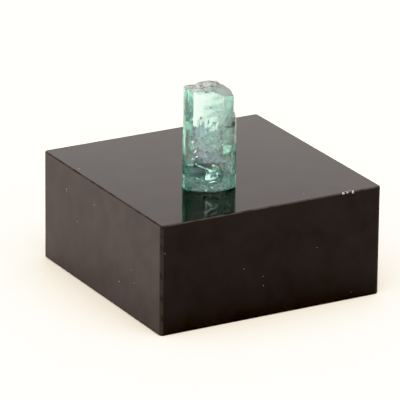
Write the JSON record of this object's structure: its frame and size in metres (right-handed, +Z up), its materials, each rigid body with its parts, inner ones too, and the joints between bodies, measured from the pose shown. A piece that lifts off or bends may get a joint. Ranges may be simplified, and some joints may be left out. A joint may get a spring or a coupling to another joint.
{
  "type": "indicolite tourmaline crystal on a display block",
  "caption": "Short six-sided crystal prism with grooved sides and a broken top, standing on a low square black block.",
  "frame": {"origin": "centre of the display block's underside", "axes": "+Z up along the crystal, X and Y along the block's sides, -Y out of the block's front face"},
  "size_m": [0.026, 0.026, 0.0232],
  "materials": {
    "black_acrylic": "cast black acrylic, polished top, satin sawn sides",
    "tourmaline": "clear pale blue-green crystal, glossy grooved faces, rough broken top"
  },
  "bodies": {
    "root": {"display_block": "black_acrylic", "tourmaline_crystal": "tourmaline"}
  },
  "joints": []
}
